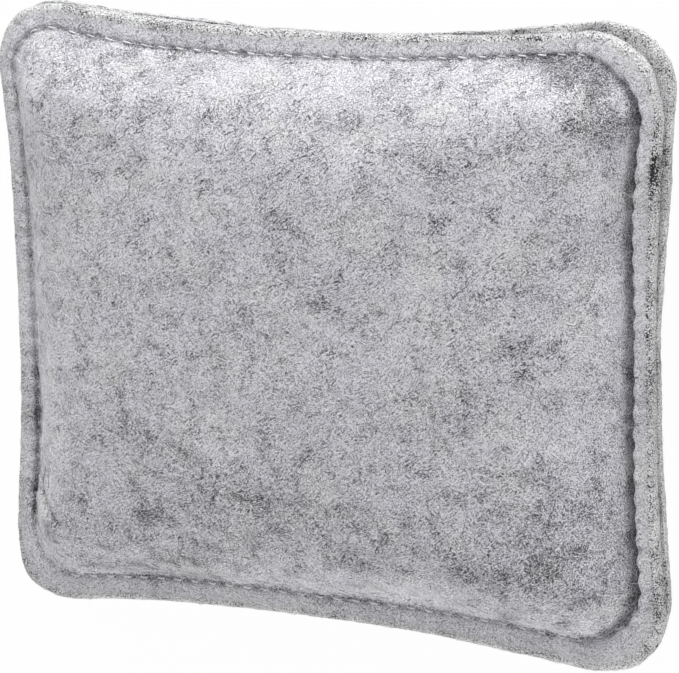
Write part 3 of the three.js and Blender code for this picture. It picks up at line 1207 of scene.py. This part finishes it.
# %% [markdown]
# ## Foam
#
# The block inside is soft open-cell foam, squeezed to a blunt edge where the sheets close. Nobody sees it
# unless a sheet is lifted, so a plain cushion form with the foam's own cells is enough.

# %% Foam material
CELL_SIZE = 0.9 * MM
foam = new_material("open cell polyurethane foam")
foam_place = add_node(foam, "TexCoord").outputs["Object"]
cells = add_node(foam, "TexVoronoi", {"Vector": foam_place, "Scale": 1 / CELL_SIZE})
foam_colour = colour_ramp(foam, cells.outputs["Distance"], ((0.1, "#C9BC9A"), (0.6, "#EFE8D6")))
foam_bump = add_node(foam, "Bump", {"Height": cells.outputs["Distance"], "Strength": 0.6, "Distance": 0.3 * MM})
foam_skin = add_node(
    foam,
    "BsdfPrincipled",
    {"Base Color": foam_colour, "Roughness": 0.9, "Normal": foam_bump.outputs["Normal"]},
)
finish_material(foam, foam_skin.outputs[0])

# %% Foam core
FOAM_COLUMNS = 180
FOAM_ROWS = 14
FOAM_BLUNT_ROWS = 3
FOAM_FLAT_ROWS = 10
foam_turns = np.linspace(0, 8, FOAM_COLUMNS + 1)
squeezed = FELT + GAP
foam_shoulder = inner_rows(FOAM_ROWS, squeezed)[:, FOAM_BLUNT_ROWS:]
upper = join_rows(foam_turns, flat_rows(FOAM_FLAT_ROWS, squeezed, CROWN), foam_shoulder[:, ::-1])
lower = join_rows(foam_turns, foam_shoulder, flat_rows(FOAM_FLAT_ROWS, squeezed, 0)[:, ::-1])
foam_points = np.concatenate([sheet_points(upper, foam_turns, 1), sheet_points(lower, foam_turns, -1)])
core = weld_grids("foam_block", (foam_points, {}))
core.data.materials.append(foam)
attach(core, "root")
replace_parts(core, "foam_core")
print("foam_block", len(core.data.polygons), "faces")

# %% [markdown]
# ## Studio
#
# A plain pale floor, an even sky and four long low lamps, one to each side of the pad, like the walls of a
# light tent. The strongest stands at the top of the picture. Low light rounds off the shoulders and brings
# out the nap, while the face itself gets about the level at which a colour looks as it was written.

# %% Floor
FLOOR = 6
GLOW = 0.97
bpy.ops.object.select_all(action="DESELECT")
bpy.ops.mesh.primitive_plane_add(size=FLOOR)
floor = bpy.context.object
floor.name = "floor"
paper = new_material("white paper")
rays = add_node(paper, "LightPath").outputs
matte = add_node(paper, "BsdfDiffuse", {"Color": linear("#F2F2F2")})
glow = add_node(paper, "Emission", {"Color": linear("#FFFFFF"), "Strength": 1.0})
mixed = add_node(paper, "MixShader", {0: GLOW, 1: matte.outputs[0], 2: glow.outputs[0]})
mirrored = calculate(paper, "MAXIMUM", rays["Is Glossy Ray"], rays["Is Transmission Ray"])
watched = calculate(paper, "MAXIMUM", rays["Is Camera Ray"], mirrored)
seen = add_node(paper, "MixShader", {0: watched, 1: matte.outputs[0], 2: mixed.outputs[0]})
finish_material(paper, seen.outputs[0])
floor.data.materials.append(paper)
print("floor of", FLOOR, "m")

# %% Lamps and sky
LAMP_DISTANCE = 1.1
LAMP_LENGTH = 0.9
LAMP_HEIGHT = 0.45
LAMPS = (("top", 93, 16, 1.15), ("right", 2, 14, 0.26), ("bottom", 276, 8, 0.68), ("left", 180, 12, 0.16))
SKY = 0.46
for name, bearing, elevation, share in LAMPS:
    bearing, elevation = math.radians(bearing), math.radians(elevation)
    direction = Vector((
        math.cos(bearing) * math.cos(elevation),
        math.sin(bearing) * math.cos(elevation),
        math.sin(elevation),
    ))
    bpy.ops.object.light_add(type="AREA", location=TARGET + LAMP_DISTANCE * direction)
    lamp = bpy.context.object
    lamp.name = f"{name}_lamp"
    lamp.data.shape = "RECTANGLE"
    lamp.data.size = LAMP_LENGTH
    lamp.data.size_y = LAMP_HEIGHT
    lamp.data.energy = share * (math.pi * LAMP_DISTANCE) ** 2
    lamp.rotation_euler = direction.to_track_quat("Z", "Y").to_euler()

world = bpy.data.worlds.new("even sky")
world.use_nodes = True
world.node_tree.nodes["Background"].inputs["Color"].default_value = linear("#FFFFFF")
world.node_tree.nodes["Background"].inputs["Strength"].default_value = SKY
bpy.context.scene.world = world
bpy.context.scene.view_settings.view_transform = "Standard"
print(len(LAMPS), "lamps at", LAMP_DISTANCE, "m")
